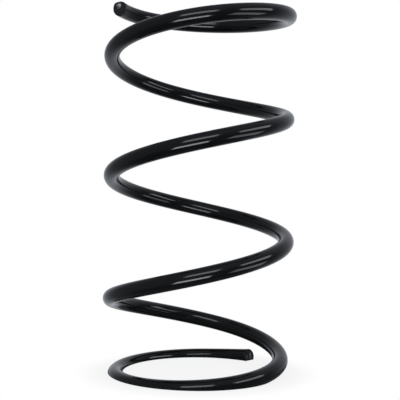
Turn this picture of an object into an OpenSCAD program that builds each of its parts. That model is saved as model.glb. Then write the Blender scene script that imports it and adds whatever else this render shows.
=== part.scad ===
// Suspension spring: one round steel wire wound right handed into an open coil.
// The lower end turn is closed up and ground to a flat seat, and the upper end turn
// levels out and stays round. The wire lifts a little at its two sheared ends, and it is
// painted gloss black. The seat lies in the plane z = 0, and Z is the coil axis, pointing up.

/* [Wire] */
// Diameter of the wire
wire_d = 12.7; // [9:0.1:14]
// Rounding left on the edge of each sheared end
shear_round = 1.5; // [0.5:0.1:3]
// Swelling of the wire beside each sheared end, on the radius
shear_swell = 0.4; // [0:0.1:1]
// Length of wire that the shears swell
swell_length = 9; // [6:0.5:15]
// How far the wire lifts at each sheared end
end_lift = 2.1; // [0:0.1:4]
// Turns of wire over which an end lifts
lift_turns = 0.11; // [0.05:0.01:0.2]

/* [Open turns] */
// Turns of wire from one sheared end to the other
turns = 4.315; // [3.8:0.005:6]
// Mean diameter of the open turns
open_mean_d = 144; // [134:1:170]
// Rise of the wire in one open turn
open_pitch = 100; // [70:1:120]

/* [Lower end] */
// Direction of the lower end of the wire, anticlockwise from the right-hand side
lower_end_angle = 47; // [0:1:359]
// Mean diameter of the lower end turn
lower_mean_d = 135.5; // [120:0.5:144]
// Turns of wire wound at the lower mean diameter
lower_turns = 0.89; // [0.5:0.01:1.1]
// Turns of wire over which the coil widens above the lower end turn
lower_widening_turns = 0.20; // [0.1:0.01:0.6]
// Slope of the lower end turn, as a rise in one turn; below zero it falls away from the wire's end
lower_end_pitch = -7; // [-15:0.5:0]
// Turns of wire from the lower end that keep that slope
lower_closed_turns = 0.3075; // [0.2:0.0025:0.5]
// Turns of wire over which the lower end opens to the full pitch
lower_opening_turns = 0.87; // [0.6:0.01:1.1]
// Thickness of wire left over the seat where it is ground deepest
seat_thickness = 5; // [4:0.5:8]

/* [Upper end] */
// Mean diameter of the upper end turn
upper_mean_d = 147; // [130:1:170]
// Turns of wire wound at the upper mean diameter
upper_turns = 0.43; // [0.2:0.01:1]
// Turns of wire over which the coil changes to the upper mean diameter
upper_widening_turns = 0.68; // [0.4:0.01:1]
// Slope of the upper end turn where it ends, as a rise in one turn
upper_end_pitch = -6; // [-10:0.5:15]
// Turns of wire over which the pitch falls towards the upper end
upper_closing_turns = 1.435; // [1:0.005:1.6]

/* [Hidden] */
paint_black = [0.055, 0.057, 0.062];
wire_r = wire_d / 2;
section_sides = 24;
degrees_per_ring = 8;
round_steps = 3;
swell_steps = 3;
// Share of a turn on each side of a point, over which the wire's direction is taken
direction_step = 0.001;
// Room that the grinding cut keeps round the coil and under it
grind_margin = 10;

// From 0 to 1 with a level start and a level end
function eased(u) = let(v = min(max(u, 0), 1)) v * v * (3 - 2 * v);

// Area under eased() from 0 to u
function eased_area(u) = u <= 0 ? 0 : u >= 1 ? u - 0.5 : pow(u, 3) - pow(u, 4) / 2;

// Mean radius of the coil at t turns of wire from the lower end
function mean_radius(t) =
    let(
        widened = eased((t - lower_turns) / lower_widening_turns),
        upper_start = turns - upper_turns - upper_widening_turns,
        topped = eased((t - upper_start) / upper_widening_turns)
    )
    (lower_mean_d + (open_mean_d - lower_mean_d) * widened + (upper_mean_d - open_mean_d) * topped) / 2;

// Lift of the wire where it is this many turns from a sheared end
function lift(turns_away) = end_lift * pow(max(0, 1 - turns_away / lift_turns), 2);

// Rise of the wire: the slope of each stretch, summed from the lower end, and the lift of each end
function rise(t) =
    let(
        opened = lower_opening_turns * eased_area((t - lower_closed_turns) / lower_opening_turns),
        closing = max(0, t - turns + upper_closing_turns) / upper_closing_turns,
        closed = upper_closing_turns * pow(closing, 3) / 3
    )
    lower_end_pitch * t
    + (open_pitch - lower_end_pitch) * opened
    - (open_pitch - upper_end_pitch) * closed
    + lift(t)
    + lift(turns - t);

// The wire's lowest point, which the grinding reaches deepest
search_steps = 200;
lowest_rise = min([for (i = [0:search_steps]) rise(i / search_steps)]);
centre_over_seat = seat_thickness - wire_r;

function wire_centre(t) =
    let(angle = lower_end_angle + 360 * t)
    [
        mean_radius(t) * cos(angle),
        mean_radius(t) * sin(angle),
        rise(t) - lowest_rise + centre_over_seat
    ];

function unit(v) = v / norm(v);
function wire_direction(t) = unit(wire_centre(t + direction_step) - wire_centre(t - direction_step));

// Points round the wire at t turns, square to its direction
function wire_ring(t, radius) =
    let(
        angle = lower_end_angle + 360 * t,
        along = wire_direction(t),
        radial = [cos(angle), sin(angle), 0],
        out = unit(radial - (radial * along) * along),
        up = cross(out, along)
    )
    [
        for (k = [0:section_sides - 1])
            let(a = 360 * k / section_sides)
            wire_centre(t) + radius * (cos(a) * out + sin(a) * up)
    ];

// Turns of wire in a length, at the lower or the upper end
function turns_in(length, mean_d) = length / (PI * mean_d);

// Rings of one sheared end, as [distance from the end, radius]: the round edge, then the swelling
function end_profile() = concat(
    [
        for (k = [0:round_steps])
            let(a = 90 * k / round_steps)
            [shear_round * (1 - cos(a)), wire_r + shear_swell - shear_round * (1 - sin(a))]
    ],
    [
        for (k = [1:swell_steps])
            let(u = k / swell_steps)
            [shear_round + (swell_length - shear_round) * u, wire_r + shear_swell * (1 - eased(u))]
    ]
);

lower_profile = [for (p = end_profile()) [turns_in(p[0], lower_mean_d), p[1]]];
upper_profile = [for (p = end_profile()) [turns - turns_in(p[0], upper_mean_d), p[1]]];
plain_from = lower_profile[len(lower_profile) - 1][0];
plain_to = upper_profile[len(upper_profile) - 1][0];
plain_count = round((plain_to - plain_from) * 360 / degrees_per_ring);

// Every ring of the wire, as [turns from the lower end, radius]
stations = concat(
    lower_profile,
    [for (i = [1:plain_count - 1]) [plain_from + (plain_to - plain_from) * i / plain_count, wire_r]],
    [for (i = [len(upper_profile) - 1:-1:0]) upper_profile[i]]
);

module wound_wire() {
    rings = [for (s = stations) wire_ring(s[0], s[1])];
    points = [for (ring = rings) each ring];
    last_ring = (len(rings) - 1) * section_sides;
    walls = [
        for (i = [0:len(rings) - 2])
            for (k = [0:section_sides - 1])
                let(
                    next = (k + 1) % section_sides,
                    a = i * section_sides + k,
                    b = i * section_sides + next,
                    c = a + section_sides,
                    d = b + section_sides
                )
                each [[a, b, d], [a, d, c]]
    ];
    lower_face = [for (k = [section_sides - 1:-1:0]) k];
    upper_face = [for (k = [0:section_sides - 1]) last_ring + k];
    polyhedron(points = points, faces = concat([lower_face, upper_face], walls), convexity = 12);
}

// What the grinding wheel takes off: everything below the seat
module ground_away() {
    side = max(lower_mean_d, open_mean_d, upper_mean_d) + 2 * (wire_d + grind_margin);
    depth = wire_d + grind_margin;
    translate([-side / 2, -side / 2, -depth]) cube([side, side, depth]);
}

module coil() {
    color(paint_black)
        difference() {
            wound_wire();
            ground_away();
        }
}

coil();
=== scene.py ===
# %% [markdown]
# A suspension spring for a small car, built as a lesson in Blender's Python.
#
# The real spring is one steel wire, 12.7 mm thick and almost two metres long, wound right
# handed into 4.3 turns. The lower end turn is pulled in, closed up and ground to a flat
# seat. The upper end turn levels out and stays round. Both ends of the wire are sheared
# and lift a little, and the whole spring wears one coat of gloss black paint.
#
# Gloss black has hardly any colour of its own, so what the eye sees is the room mirrored
# in it. Most of this lesson is therefore about two things: a surface that is smooth
# enough to mirror well, and a small studio that is worth mirroring.

import math

import bmesh
import bpy
import numpy as np
from mathutils import Matrix, Vector


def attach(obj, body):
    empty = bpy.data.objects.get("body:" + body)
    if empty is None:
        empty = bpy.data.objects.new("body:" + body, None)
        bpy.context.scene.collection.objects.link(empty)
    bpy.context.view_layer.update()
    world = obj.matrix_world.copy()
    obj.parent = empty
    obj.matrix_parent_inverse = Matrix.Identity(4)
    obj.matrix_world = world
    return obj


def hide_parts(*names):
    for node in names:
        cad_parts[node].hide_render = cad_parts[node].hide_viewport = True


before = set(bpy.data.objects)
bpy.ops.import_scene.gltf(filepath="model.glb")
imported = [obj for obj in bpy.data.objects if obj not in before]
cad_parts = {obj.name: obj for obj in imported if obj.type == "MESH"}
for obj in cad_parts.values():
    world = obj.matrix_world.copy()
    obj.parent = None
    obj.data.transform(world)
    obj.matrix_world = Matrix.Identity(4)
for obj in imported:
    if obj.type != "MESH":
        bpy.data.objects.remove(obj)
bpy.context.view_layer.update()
MM = 0.001

# %% [markdown]
# The camera comes first, because every later choice is judged through it. It stands a
# little under half way up the spring and looks almost level, so that the upper turns are
# seen from below and the lower turns from above. A short distance gives a strong
# perspective: the near strands look almost a quarter thicker than the far ones.

# %% Place the camera
CAMERA_AWAY = 685.9 * MM
CAMERA_ASIDE = 1.03 * MM
CAMERA_HEIGHT = 136.95 * MM
CAMERA_LENS_MM = 74.79
CAMERA_SENSOR_MM = 36
CAMERA_CLIP = 10 * MM
CAMERA_LOOKS_UP = math.radians(0.347)
CAMERA_LEANS = math.radians(0.404)

camera_data = bpy.data.cameras.new("camera")
camera_data.sensor_width = CAMERA_SENSOR_MM
camera_data.lens = CAMERA_LENS_MM
camera_data.clip_start = CAMERA_CLIP
camera = bpy.data.objects.new("camera", camera_data)
stand = Matrix.Translation((CAMERA_ASIDE, -CAMERA_AWAY, CAMERA_HEIGHT))
level = Matrix.Rotation(math.pi / 2 + CAMERA_LOOKS_UP, 4, "X")
camera.matrix_world = stand @ level @ Matrix.Rotation(CAMERA_LEANS, 4, "Z")
bpy.context.scene.collection.objects.link(camera)
bpy.context.scene.camera = camera
bpy.context.scene.view_settings.view_transform = "Standard"
print("camera at", [round(v, 4) for v in camera.matrix_world.translation])

# %% [markdown]
# Shader maths reads best as arithmetic. The class below wraps one output socket of a node
# tree. Adding, subtracting or multiplying wrapped sockets adds the matching Math node, and
# the reflected forms let a plain number stand on the left, as in 1 - mask. One method,
# node, makes every other kind of node: its settings are set first, then its sockets.

# %% A socket that can be calculated with
def as_input(tree, socket, value):
    """Feeds a node's input with a wrapped socket, or sets it to a plain value."""
    if isinstance(value, Shade):
        tree.links.new(value.socket, socket)
    else:
        socket.default_value = value


class Shade:
    """One output socket of a node tree, with Math nodes behind its operators."""

    def __init__(self, tree, socket):
        self.tree = tree
        self.socket = socket

    def node(self, kind, settings=None, output=0, **inputs):
        """Any other node: its type, its settings, and its inputs by name or as i0, i1."""
        made = self.tree.nodes.new(kind)
        for name, value in (settings or {}).items():
            setattr(made, name, value)
        for name, value in inputs.items():
            key = int(name[1:]) if name[0] == "i" and name[1:].isdigit() else name.replace("_", " ")
            as_input(self.tree, made.inputs[key], value)
        return Shade(self.tree, made.outputs[output] if len(made.outputs) else None)

    def math(self, operation, *values):
        inputs = {"i%d" % i: value for i, value in enumerate(values)}
        return self.node("ShaderNodeMath", {"operation": operation}, **inputs)

    def __add__(self, other):
        return self.math("ADD", self, other)

    def __radd__(self, other):
        return self.math("ADD", other, self)

    def __sub__(self, other):
        return self.math("SUBTRACT", self, other)

    def __rsub__(self, other):
        return self.math("SUBTRACT", other, self)

    def __mul__(self, other):
        return self.math("MULTIPLY", self, other)

    def __rmul__(self, other):
        return self.math("MULTIPLY", other, self)

    def larger(self, other):
        return self.math("MAXIMUM", self, other)

    def between(self, low, high):
        """0 below low, 1 above high, and an eased step between them."""
        settings = {"interpolation_type": "SMOOTHSTEP"}
        return self.node("ShaderNodeMapRange", settings, Value=self, From_Min=low, From_Max=high)

    def vector_math(self, operation, *values, output=0):
        inputs = {"i%d" % i: value for i, value in enumerate(values)}
        return self.node("ShaderNodeVectorMath", {"operation": operation}, output=output, **inputs)

    def facing(self, towards):
        """How far this direction points towards another: 1 straight at it, -1 straight away."""
        return self.vector_math("DOT_PRODUCT", self, towards, output="Value")

    def distance(self, point):
        return self.vector_math("DISTANCE", self, tuple(point), output="Value")

    def colours(self, none, full):
        """The colour none where this value is 0, and full where it is 1."""
        # Mix keeps its two colours in inputs 6 and 7, and the mixed colour in output 2
        settings = {"data_type": "RGBA"}
        return self.node("ShaderNodeMix", settings, output=2, Factor=self, i6=none, i7=full)


def start_tree(tree):
    """Empties a node tree, and gives a wrapped socket to start calculating from."""
    tree.nodes.clear()
    return Shade(tree, None)


def ray_kinds(shade):
    """From Light Path: 1 for rays from the camera, mirrored rays, and rays through glass."""
    path = shade.node("ShaderNodeLightPath").socket.node.outputs
    kinds = ("Is Camera Ray", "Is Glossy Ray", "Is Transmission Ray")
    return [Shade(shade.tree, path[kind]) for kind in kinds]


print("socket maths ready")

# %% [markdown]
# The studio has a white backdrop and a grey room. A world shader can be both: rays from
# the camera always find plain white, and mirrored rays find a room that pales towards the
# white behind the spring, and dims towards the floor, most of all in front of the spring.
# Gloss black shows even faint changes in that room, so it gets four soft patches: a dark
# curtain at the front right, a ceiling that the lamps light a little, and a wall at the
# back right that is pale both at the spring's height and further up. Other rays find a
# mid grey, so that the white backdrop doesn't flood the scene with light.

# %% Make the world: a white backdrop behind, a grey room in front
ROOM_GREY = 0.22
ROOM_GREY_BELOW = 0.08
ROOM_PATCHES = [
    {"name": "curtain", "towards": (0.78, -0.60, -0.15), "from": 0.3, "to": 0.9, "adds": -0.10},
    {"name": "ceiling", "towards": (0.20, -0.50, 0.84), "from": 0.6, "to": 1.0, "adds": 0.08},
    {"name": "wall", "towards": (0.69, 0.72, 0.0), "from": 0.75, "to": 1.0, "adds": 0.12},
    {"name": "high_wall", "towards": (0.50, 0.55, 0.67), "from": 0.8, "to": 1.0, "adds": 0.10},
]
ROOM_TINT = (0.925, 0.97, 1.05, 1)
TOWARDS_BACKDROP = (0, 0.99, -0.10)
BACKDROP_FROM, BACKDROP_TO = 0.42, 1.5
OFF_THE_FLOOR = (0, 0.35, 0.94)
DIMMEST_AT, FULL_GREY_AT = -0.95, -0.25
BACKDROP_WHITE = (1, 1, 1, 1)
NO_LIGHT = (0, 0, 0, 1)
FILL_LIGHT = 0.4

world = bpy.data.worlds.new("studio_world")
bpy.context.scene.world = world
world.use_nodes = True
sky = start_tree(world.node_tree)
from_camera, mirrored, through = ray_kinds(sky)
direction = sky.node("ShaderNodeTexCoord", output="Generated")
behind = direction.facing(TOWARDS_BACKDROP).between(BACKDROP_FROM, BACKDROP_TO)
above = direction.facing(OFF_THE_FLOOR).between(DIMMEST_AT, FULL_GREY_AT)
grey = ROOM_GREY_BELOW + (ROOM_GREY - ROOM_GREY_BELOW) * above
for patch in ROOM_PATCHES:
    strength = direction.facing(patch["towards"]).between(patch["from"], patch["to"])
    grey = grey + patch["adds"] * strength * above
room = grey + (1 - grey) * behind
seen = mirrored.larger(through)
level_of_light = seen * room + (1 - seen) * FILL_LIGHT
tinted_light = level_of_light.colours(NO_LIGHT, ROOM_TINT)
shown = from_camera.colours(tinted_light, BACKDROP_WHITE)
backdrop = sky.node("ShaderNodeBackground", Color=shown)
sky.node("ShaderNodeOutputWorld", Surface=backdrop)
print("world made, with patches:", [patch["name"] for patch in ROOM_PATCHES])

# %% [markdown]
# The spring stands on a small round table top. It is white and matt, and it keeps the
# spring's soft shadow. A share of plain white is mixed in, which grows to the whole
# towards the rim, so the table top is as pale as the backdrop and no edge shows. It is
# kept small on purpose: two of the lamps shine up past its rim. For mirrored rays its
# white is swapped for a dark grey, a painted shade, so the undersides of the wire mirror it only dimly.

# %% Make the table top
TABLE_RADIUS = 0.11
TABLE_SIDES = 128
TABLE_FADE_FROM = 0.075
TABLE_FADE_TO = 0.105
TABLE_THICKNESS = 0.02
TABLE_BELOW_SEAT = 0.2 * MM
TABLE_WHITE = (0.9, 0.9, 0.9, 1)
# Dark grey that mirrored rays see in place of the white: painted shade
TABLE_PAINTED_SHADE = (0.1, 0.1, 0.1, 1)
PLAIN_WHITE = (1, 1, 1, 1)
PLAIN_WHITE_SHARE = 0.85
MIRRORED_SHARE = 0.1


def make_table_top():
    shape = bmesh.new()
    size = {"radius1": TABLE_RADIUS, "radius2": TABLE_RADIUS, "depth": TABLE_THICKNESS}
    bmesh.ops.create_cone(shape, cap_ends=True, segments=TABLE_SIDES, **size)
    bmesh.ops.translate(shape, verts=shape.verts, vec=(0, 0, -TABLE_THICKNESS / 2 - TABLE_BELOW_SEAT))
    mesh = bpy.data.meshes.new("table_top")
    shape.to_mesh(mesh)
    shape.free()
    table = bpy.data.objects.new("table_top", mesh)
    bpy.context.scene.collection.objects.link(table)
    return table


def make_table_white():
    material = bpy.data.materials.new("table_white")
    material.use_nodes = True
    top = start_tree(material.node_tree)
    place = top.node("ShaderNodeTexCoord", output="Object")
    flat_place = top.vector_math("MULTIPLY", place, (1, 1, 0))
    from_middle = top.vector_math("LENGTH", flat_place, output="Value")
    fade = from_middle.between(TABLE_FADE_FROM, TABLE_FADE_TO)
    camera_ray, glossy_ray, clear_ray = ray_kinds(top)
    shown = camera_ray.larger(clear_ray).larger(MIRRORED_SHARE * glossy_ray)
    lit = top.node("ShaderNodeBsdfDiffuse", Color=TABLE_WHITE)
    # Mirrored rays see the table in a dark grey copy of its white: painted shade, not a shadow cast by
    # the wire
    painted_shade = top.node("ShaderNodeBsdfDiffuse", Color=TABLE_PAINTED_SHADE)
    matt = top.node("ShaderNodeMixShader", i0=glossy_ray, i1=lit, i2=painted_shade)
    plain_white = top.node("ShaderNodeEmission", Color=PLAIN_WHITE, Strength=1.0)
    share = PLAIN_WHITE_SHARE + (1 - PLAIN_WHITE_SHARE) * fade
    surface = top.node("ShaderNodeMixShader", i0=share * shown, i1=matt, i2=plain_white)
    top.node("ShaderNodeOutputMaterial", Surface=surface)
    return material


table_top = make_table_top()
table_top.data.materials.append(make_table_white())
print("table top", TABLE_RADIUS * 2, "m across")

# %% [markdown]
# Four soft boxes give the spring its streaks: one above and one below the camera, and the
# same pair again on the right. A thin round wire squeezes each box into a bright line, and
# the dark gap between the two pairs breaks that line in two. The boxes themselves don't
# show to the camera.

# %% Hang the soft boxes
BOX_AWAY = 1.0
BOX_AIM = Vector((0, 0, 0.15))
BOX_TINT = (0.95, 0.98, 1.03)
WATTS_PER_LEVEL = 4.0
FRONT_TURN = math.radians(-3.0)
RIGHT_TURN = math.radians(67)
SOFT_BOXES = {
    "front_upper_box": {"turn": FRONT_TURN, "height": 0.73, "wide": 0.76, "tall": 0.35, "level": 2.4},
    "front_lower_box": {"turn": FRONT_TURN, "height": -0.33, "wide": 0.76, "tall": 0.31, "level": 4.9},
    "right_upper_box": {"turn": RIGHT_TURN, "height": 0.58, "wide": 0.80, "tall": 0.34, "level": 2.1},
    "right_lower_box": {"turn": RIGHT_TURN, "height": -0.29, "wide": 0.84, "tall": 0.39, "level": 1.4},
}


def hang_soft_box(name, turn, height, wide, tall, level):
    light = bpy.data.lights.new(name, "AREA")
    light.shape = "RECTANGLE"
    light.size, light.size_y = wide, tall
    light.energy = WATTS_PER_LEVEL * wide * tall * level
    light.color = BOX_TINT
    box = bpy.data.objects.new(name, light)
    box.location = (BOX_AWAY * math.sin(turn), -BOX_AWAY * math.cos(turn), height)
    box.rotation_euler = (box.location - BOX_AIM).to_track_quat("Z", "Y").to_euler()
    box.visible_camera = False
    bpy.context.scene.collection.objects.link(box)


for name, kind in SOFT_BOXES.items():
    hang_soft_box(name, **kind)
print("soft boxes:", list(SOFT_BOXES))

# %% [markdown]
# Now the spring. A wire can be drawn as a curve with a round bevel, but a curve can't be
# ground flat on one side or sheared at its ends. So the wire is swept by hand, ring by
# ring, along the same winding rule as the construction model: the angle grows with the
# turns, and the rise and the radius are eased between the end turns and the open turns.
#
# The construction model is faceted, and a smooth coil of the same size would bulge past
# its flats. Two small allowances keep the smooth one inside.

# %% Sizes of the spring
THINNER = 0.02 * MM
DRAWN_IN = 0.2 * MM
WIRE_RADIUS = 6.35 * MM - THINNER
END_LIFT = 2.1 * MM
LIFT_TURNS = 0.11
TURNS = 4.315
OPEN_MEAN_RADIUS = 72.0 * MM - DRAWN_IN
OPEN_PITCH = 100.0 * MM
LOWER_END_ANGLE = math.radians(47)
LOWER_MEAN_RADIUS = 67.75 * MM - DRAWN_IN
LOWER_TURNS = 0.89
LOWER_WIDENING_TURNS = 0.20
LOWER_END_PITCH = -7.0 * MM
LOWER_CLOSED_TURNS = 0.3075
LOWER_OPENING_TURNS = 0.87
SEAT_THICKNESS = 5.0 * MM
UPPER_MEAN_RADIUS = 73.5 * MM - DRAWN_IN
UPPER_TURNS = 0.43
UPPER_WIDENING_TURNS = 0.68
UPPER_END_PITCH = -6.0 * MM
UPPER_CLOSING_TURNS = 1.435
SEARCH_POINTS = 201
LENGTH_POINTS = 4000


def eased(u):
    u = np.clip(u, 0, 1)
    return u * u * (3 - 2 * u)


def eased_area(u):
    """Area under eased() from 0 to u."""
    inside = np.clip(u, 0, 1)
    return inside**3 - inside**4 / 2 + np.maximum(0, u - 1)


def mean_radius(t):
    widened = eased((t - LOWER_TURNS) / LOWER_WIDENING_TURNS)
    topped = eased((t - (TURNS - UPPER_TURNS - UPPER_WIDENING_TURNS)) / UPPER_WIDENING_TURNS)
    lower_step = OPEN_MEAN_RADIUS - LOWER_MEAN_RADIUS
    upper_step = UPPER_MEAN_RADIUS - OPEN_MEAN_RADIUS
    return LOWER_MEAN_RADIUS + lower_step * widened + upper_step * topped


def lift(turns_away):
    return END_LIFT * np.maximum(0, 1 - turns_away / LIFT_TURNS) ** 2


def rise(t):
    opened = LOWER_OPENING_TURNS * eased_area((t - LOWER_CLOSED_TURNS) / LOWER_OPENING_TURNS)
    closing = np.maximum(0, t - TURNS + UPPER_CLOSING_TURNS) / UPPER_CLOSING_TURNS
    closed = UPPER_CLOSING_TURNS * closing**3 / 3
    return (
        LOWER_END_PITCH * t
        + (OPEN_PITCH - LOWER_END_PITCH) * opened
        - (OPEN_PITCH - UPPER_END_PITCH) * closed
        + lift(t)
        + lift(TURNS - t)
    )


LOWEST_RISE = rise(np.linspace(0, 1, SEARCH_POINTS)).min()


def wire_centre(t):
    angle = LOWER_END_ANGLE + 2 * math.pi * t
    radius = mean_radius(t)
    height = rise(t) - LOWEST_RISE + SEAT_THICKNESS - WIRE_RADIUS
    return np.stack([radius * np.cos(angle), radius * np.sin(angle), height], axis=-1)


steps = wire_centre(np.linspace(0, TURNS, LENGTH_POINTS))
wire_length = np.linalg.norm(np.diff(steps, axis=0), axis=1).sum()
print("wire length", round(wire_length, 3), "m")

# %% [markdown]
# A section of the wire is a circle, and where the grinding wheel has been it is a circle
# with its bottom cut off level. A sharp cut would look like paper, so a small round joins
# the flat to the circle, as paint rounds every edge. The rule is pure geometry: a small
# circle that touches the flat and the big circle from inside has its centre at a known
# place, and the outline is four stretches that meet there.

# %% The outline of one section
EDGE_ROUND = 0.35 * MM
MAIN_POINTS = 60
EDGE_POINTS = 4
FLAT_POINTS = 5


def arc(centre, radius, start, end, count):
    """Points on an arc, from start up to but not including end."""
    angle = np.linspace(start, end, count, endpoint=False)
    return np.stack([centre[0] + radius * np.cos(angle), centre[1] + radius * np.sin(angle)], axis=-1)


def section(radius, cut):
    """Outline of the wire: across and up, with everything below the height cut taken off."""
    cut = max(cut, -radius)
    small = min(EDGE_ROUND, radius / 2)
    corner_x = math.sqrt(max(0.0, (radius - small) ** 2 - (cut + small) ** 2))
    touch = math.atan2(cut + small, corner_x)
    down = -math.pi / 2
    right_corner = arc((corner_x, cut + small), small, down, touch, EDGE_POINTS)
    main = arc((0, 0), radius, touch, math.pi - touch, MAIN_POINTS)
    left_corner = arc((-corner_x, cut + small), small, math.pi - touch, 3 * math.pi / 2, EDGE_POINTS)
    flat_x = np.linspace(-corner_x, corner_x, FLAT_POINTS, endpoint=False)
    flat = np.stack([flat_x, np.full(FLAT_POINTS, cut)], axis=-1)
    return np.concatenate([right_corner, main, left_corner, flat])


SECTION_POINTS = len(section(WIRE_RADIUS, -WIRE_RADIUS))
print("points in a section:", SECTION_POINTS)

# %% [markdown]
# Each end was cut off in a shear. That leaves a rounded edge, a very slight swelling of
# the wire behind it, and a face that isn't quite flat. The ends stop a little short of the
# construction model's, and their edges are tighter, which is closer to the real spring.
# They get rings much closer together than the rest of the wire, where one ring every
# degree and a half is smooth enough to mirror a lamp without a kink.

# %% Where the rings go along the wire
SHEAR_ROUND = 0.9 * MM
SHEAR_SWELL = 0.1 * MM
SWELL_LENGTH = 9.0 * MM
END_SHORTER = 0.7 * MM
LOWER_STOP = END_SHORTER / (2 * math.pi * LOWER_MEAN_RADIUS)
UPPER_STOP = TURNS - END_SHORTER / (2 * math.pi * UPPER_MEAN_RADIUS)
ROUND_RINGS = 8
SWELL_RINGS = 14
RING_STEP = math.radians(1.5)


def end_profile():
    """Rings of one end, as distance from the end and radius of the wire."""
    bend = np.linspace(0, math.pi / 2, ROUND_RINGS + 1)
    round_away = SHEAR_ROUND * (1 - np.cos(bend))
    round_radius = WIRE_RADIUS + SHEAR_SWELL - SHEAR_ROUND * (1 - np.sin(bend))
    u = np.arange(1, SWELL_RINGS + 1) / SWELL_RINGS
    swell_away = SHEAR_ROUND + (SWELL_LENGTH - SHEAR_ROUND) * u
    swell_radius = WIRE_RADIUS + SHEAR_SWELL * (1 - eased(u))
    return np.column_stack(
        [np.concatenate([round_away, swell_away]), np.concatenate([round_radius, swell_radius])]
    )


def ring_stations():
    """Every ring of the wire, as turns from the lower end and radius."""
    profile = end_profile()
    lower = [(LOWER_STOP + d / (2 * math.pi * LOWER_MEAN_RADIUS), r) for d, r in profile]
    upper = [(UPPER_STOP - d / (2 * math.pi * UPPER_MEAN_RADIUS), r) for d, r in profile]
    plain_from, plain_to = lower[-1][0], upper[-1][0]
    count = round((plain_to - plain_from) * 2 * math.pi / RING_STEP)
    plain = [(t, WIRE_RADIUS) for t in np.linspace(plain_from, plain_to, count + 1)[1:-1]]
    return lower + plain + upper[::-1]


stations = ring_stations()
print("rings along the wire:", len(stations))

# %% [markdown]
# The sweep sets each outline square to the wire. Its across direction is kept level, so
# that the flat of every ground section lies exactly in the plane of the seat. The rings
# are joined by quads, and each end is closed by the same outline drawn in towards a
# point, in small steps, which gives the sheared face enough points to be uneven.
#
# The upper face is cut a little askew, with a burr near its outer top corner, where the
# shear let go, and a small pit beside it. The lower face has a ridge down its outer side
# and a lump. Each is a soft hill along the wire, given by its place across and up the
# face, its height, and its half widths across and up. The shear has also dragged the rim
# outwards into a low lip, which is given in the same way and fades along the wire.

# %% Sweep the wire
DIRECTION_STEP = 0.0005
FACE_RINGS = 14
FACE_CENTRE_UP = 1.5 * MM
FACE_DISH = 0.25 * MM
UPPER_END = {
    "stop": UPPER_STOP,
    "outward": 1,
    "slant": 0.04,
    "hills": [
        {"across": 3.5, "up": 2.3, "height": 1.6, "wide": 3.1, "tall": 3.1},
        {"across": 1.7, "up": 1.0, "height": -0.45, "wide": 0.8, "tall": 0.8},
    ],
    "lip": {"across": 4.5, "up": 4.6, "height": 0.6, "wide": 2.1, "tall": 2.1},
}
LOWER_END = {
    "stop": LOWER_STOP,
    "outward": -1,
    "slant": 0.0,
    "hills": [
        {"across": 4.2, "up": -1.5, "height": 0.9, "wide": 2.0, "tall": 3.4},
        {"across": -4.2, "up": -0.4, "height": 0.5, "wide": 1.2, "tall": 1.3},
    ],
    "lip": {"across": 6.0, "up": 2.0, "height": 0.2, "wide": 2.1, "tall": 2.1},
}


def hill_height(hills, across, up):
    total = 0
    for hill in hills:
        x = (across / MM - hill["across"]) / hill["wide"]
        y = (up / MM - hill["up"]) / hill["tall"]
        total = total + hill["height"] * MM * np.exp(-x * x - y * y)
    return total


def how_proud(end, across, up):
    """How far a place on a sheared face stands out along the wire."""
    return end["slant"] * across + hill_height(end["hills"], across, up)


def wire_axes(t):
    """Centre of the wire, and its directions across (level, away from the coil's axis), up and along."""
    centre = wire_centre(np.array(t))
    along = wire_centre(np.array(t + DIRECTION_STEP)) - wire_centre(np.array(t - DIRECTION_STEP))
    along = along / np.linalg.norm(along)
    out = np.array([along[1], -along[0], 0.0])
    out = out / np.linalg.norm(out)
    return centre, out, np.cross(out, along), along


def ring_points(t, radius):
    centre, out, up, _ = wire_axes(t)
    outline = section(radius, -centre[2] / up[2])
    return centre + outline[:, :1] * out + outline[:, 1:] * up


def sheared_end(rings, end):
    """Closes one end: rings drawn in from its rim, then its slant, its hills and the lip on its rim."""
    centre, out, up, along = wire_axes(end["stop"])
    outward = along * end["outward"]
    middle = centre + FACE_CENTRE_UP * up
    rim = rings[0]
    face = []
    for share in np.linspace(1, 0, FACE_RINGS, endpoint=False)[1:]:
        face.append(middle + (rim - middle) * share - outward * FACE_DISH * (1 - share) ** 2)
    hill_shares = [1.0] * len(face) + list(np.linspace(1, 0, ROUND_RINGS + 1)) + [0.0] * SWELL_RINGS
    lip_shares = [1.0] * (len(face) + ROUND_RINGS + 1) + list(1 - eased(np.linspace(0, 1, SWELL_RINGS)))
    shaped = []
    for points, hill_share, lip_share in zip(face[::-1] + rings, hill_shares, lip_shares):
        away = points - centre
        across, high = away @ out, away @ up
        proud = hill_share * how_proud(end, across, high)
        sideways = across[:, None] * out + high[:, None] * up
        drag = lip_share * hill_height([end["lip"]], across, high) / WIRE_RADIUS
        shaped.append(points + proud[:, None] * outward + drag[:, None] * sideways)
    return shaped


def sweep_wire():
    plain = [ring_points(t, radius) for t, radius in stations]
    edge = ROUND_RINGS + 1 + SWELL_RINGS
    lower_end = sheared_end(plain[:edge], LOWER_END)
    upper_end = sheared_end(plain[:-edge - 1:-1], UPPER_END)
    rings = lower_end + plain[edge:-edge] + upper_end[::-1]
    n = SECTION_POINTS
    faces = []
    for i in range(len(rings) - 1):
        for k in range(n):
            a, b = i * n + k, i * n + (k + 1) % n
            faces.append((a, b, b + n, a + n))
    last = (len(rings) - 1) * n
    faces.append(tuple(range(n - 1, -1, -1)))
    faces.append(tuple(range(last, last + n)))
    return np.concatenate(rings), faces


wire_points, wire_faces = sweep_wire()
print("swept", len(wire_points), "points")

# %% [markdown]
# Where the wire isn't ground, the flat and its two corners shrink to a single point, and
# the points there are merged. What is left is one closed skin.

# %% Make the coil's mesh
MERGE_WITHIN = 0.005 * MM


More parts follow.
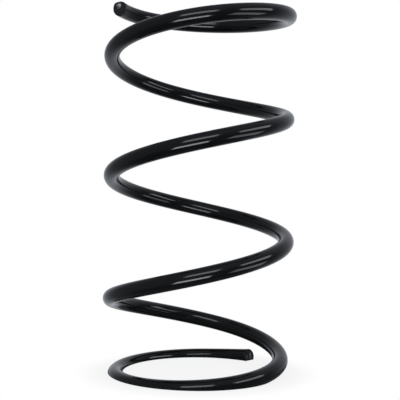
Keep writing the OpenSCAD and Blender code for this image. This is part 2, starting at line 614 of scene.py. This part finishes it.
def make_coil():
    mesh = bpy.data.meshes.new("painted_coil")
    mesh.from_pydata(wire_points.tolist(), [], wire_faces)
    shape = bmesh.new()
    shape.from_mesh(mesh)
    bmesh.ops.remove_doubles(shape, verts=shape.verts, dist=MERGE_WITHIN)
    bmesh.ops.recalc_face_normals(shape, faces=shape.faces)
    for face in shape.faces:
        face.smooth = True
    open_edges = [edge for edge in shape.edges if len(edge.link_faces) != 2]
    print("coil:", len(shape.faces), "faces,", len(open_edges), "open edges,",
          round(shape.calc_volume() / MM**3), "cubic mm")
    shape.to_mesh(mesh)
    shape.free()
    coil = bpy.data.objects.new("painted_coil", mesh)
    bpy.context.scene.collection.objects.link(coil)
    return coil


coil = make_coil()

# %% [markdown]
# The paint. Sprayed gloss black is smooth, but close up it is never dead flat: it dries
# with a faint ripple, like the skin of an orange, and its gloss and depth change a little
# from place to place. The ripple is a bump that is far too low to see by itself, but it
# breaks up the reflections.
#
# On the sheared ends the paint lies over torn steel, so it is duller, coarser and a little
# thinner there. A ball round each end of the wire finds those places. Where a face has
# been knocked, the coat is worn through and the steel shows grey. Those grey spots are also
# painted highlights: they are put where the faces glint, and light those places up. They
# are small balls as well, each with its place on the face, its radius and how grey it is,
# and the noise that makes the torn relief gives them a ragged edge. On the seat, which a
# mask finds by its height, the fine arcs of the grinding wheel show through the coat.

# %% Mix the black paint
PAINT_BLACK = (0.0011, 0.0015, 0.0021, 1)
PAINT_BLACK_THIN = (0.0020, 0.0025, 0.0033, 1)
# Grey of bare steel, which also serves as painted highlight on the sheared faces
BARE_STEEL_AND_GLINT = (0.31, 0.31, 0.31, 1)
PAINT_IOR = 1.5
PAINT_ROUGH, PAINT_ROUGH_CHANGE = 0.10, 0.03
SHEARED_ROUGH = 0.15
SEAT_ROUGH = 0.22
CLOUDS_PER_METRE, CLOUD_DETAIL = 22.0, 3.0
CLOUD_FROM, CLOUD_TO = 0.35, 0.65
RIPPLE_PER_METRE, RIPPLE_DETAIL, RIPPLE_HEIGHT = 150, 1.5, 0.005 * MM
TEAR_PER_METRE, TEAR_DETAIL, TEAR_HEIGHT = 900, 3.0, 0.05 * MM
ARCS_PER_METRE, ARC_HEIGHT = 1600, 0.012 * MM
WHEEL_CENTRE = (0.19, 0.04, 0.0)
END_BALL_AHEAD = 3 * MM
END_BALL_FULL, END_BALL_GONE = 6.9 * MM, 7.9 * MM
SEAT_FULL, SEAT_GONE = 0.05 * MM, 0.30 * MM
# Spots on the sheared faces, placed where the faces glint: partly worn paint, partly painted highlight
UPPER_BARE_AND_GLINT_SPOTS = [{"across": 0.5, "up": 2.7, "radius": 2.2, "bare_and_glint": 1.0}]
LOWER_BARE_AND_GLINT_SPOTS = [
    {"across": -4.2, "up": -0.4, "radius": 1.7, "bare_and_glint": 0.5},
    {"across": 1.6, "up": 2.4, "radius": 1.7, "bare_and_glint": 0.4},
    {"across": 1.6, "up": 0.6, "radius": 1.7, "bare_and_glint": 0.4},
    {"across": 1.6, "up": -1.2, "radius": 1.7, "bare_and_glint": 0.4},
]
BARE_AND_GLINT_CORE_SHARE = 0.4
RAGGED_FROM, RAGGED_TO = 0.35, 0.55
THIN_COVER = 0.03


def end_ball(place, end):
    """1 on one sheared end, and 0 elsewhere."""
    centre, _, _, along = wire_axes(end["stop"])
    ball = centre + along * end["outward"] * END_BALL_AHEAD
    return 1 - place.distance(ball).between(END_BALL_FULL, END_BALL_GONE)


def bare_and_glint_spots(place, end, spots):
    """How far the grey of the worn spots shows on one sheared face, from 0 to 1; the spots are also
    painted highlights.
    """
    centre, out, up, along = wire_axes(end["stop"])
    bare_and_glint = 0
    for spot in spots:
        across, high, radius = spot["across"] * MM, spot["up"] * MM, spot["radius"] * MM
        proud = how_proud(end, across, high)
        middle = centre + across * out + high * up + proud * end["outward"] * along
        worn_and_glint = 1 - place.distance(middle).between(BARE_AND_GLINT_CORE_SHARE * radius, radius)
        bare_and_glint = spot["bare_and_glint"] * worn_and_glint + bare_and_glint
    return bare_and_glint


def make_paint():
    material = bpy.data.materials.new("gloss_black_paint")
    material.use_nodes = True
    paint = start_tree(material.node_tree)
    place = paint.node("ShaderNodeTexCoord", output="Object")

    def noise(per_metre, detail):
        return paint.node("ShaderNodeTexNoise", Vector=place, Scale=per_metre, Detail=detail)

    cloud = noise(CLOUDS_PER_METRE, CLOUD_DETAIL).between(CLOUD_FROM, CLOUD_TO)
    ripple = noise(RIPPLE_PER_METRE, RIPPLE_DETAIL)
    tear = noise(TEAR_PER_METRE, TEAR_DETAIL)
    from_wheel = place.distance(WHEEL_CENTRE)
    in_a_line = {"noise_dimensions": "1D"}
    arcs = paint.node("ShaderNodeTexNoise", in_a_line, W=from_wheel, Scale=ARCS_PER_METRE)

    sheared = end_ball(place, LOWER_END).larger(end_ball(place, UPPER_END))
    worn_and_glint = bare_and_glint_spots(place, LOWER_END, LOWER_BARE_AND_GLINT_SPOTS) + bare_and_glint_spots(place, UPPER_END, UPPER_BARE_AND_GLINT_SPOTS)
    # The worn spots, which are partly painted highlight, plus the thinner paint over the sheared ends
    bare_and_glint = worn_and_glint * tear.between(RAGGED_FROM, RAGGED_TO) + THIN_COVER * sheared
    height = paint.node("ShaderNodeSeparateXYZ", output="Z", Vector=place)
    seat = 1 - height.between(SEAT_FULL, SEAT_GONE)

    rough = PAINT_ROUGH + PAINT_ROUGH_CHANGE * cloud
    rough = rough + (SHEARED_ROUGH - PAINT_ROUGH) * sheared + (SEAT_ROUGH - PAINT_ROUGH) * seat
    relief = RIPPLE_HEIGHT * ripple + TEAR_HEIGHT * sheared * tear + ARC_HEIGHT * seat * arcs
    black = cloud.colours(PAINT_BLACK, PAINT_BLACK_THIN)
    colour = bare_and_glint.colours(black, BARE_STEEL_AND_GLINT)
    bump = paint.node("ShaderNodeBump", Strength=1.0, Distance=1.0, Height=relief)
    shader = paint.node(
        "ShaderNodeBsdfPrincipled", Base_Color=colour, Roughness=rough, IOR=PAINT_IOR, Normal=bump
    )
    paint.node("ShaderNodeOutputMaterial", Surface=shader)
    return material


coil.data.materials.append(make_paint())
print("paint mixed")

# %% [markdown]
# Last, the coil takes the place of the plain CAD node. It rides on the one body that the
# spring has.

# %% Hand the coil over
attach(coil, "root")
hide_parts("coil")
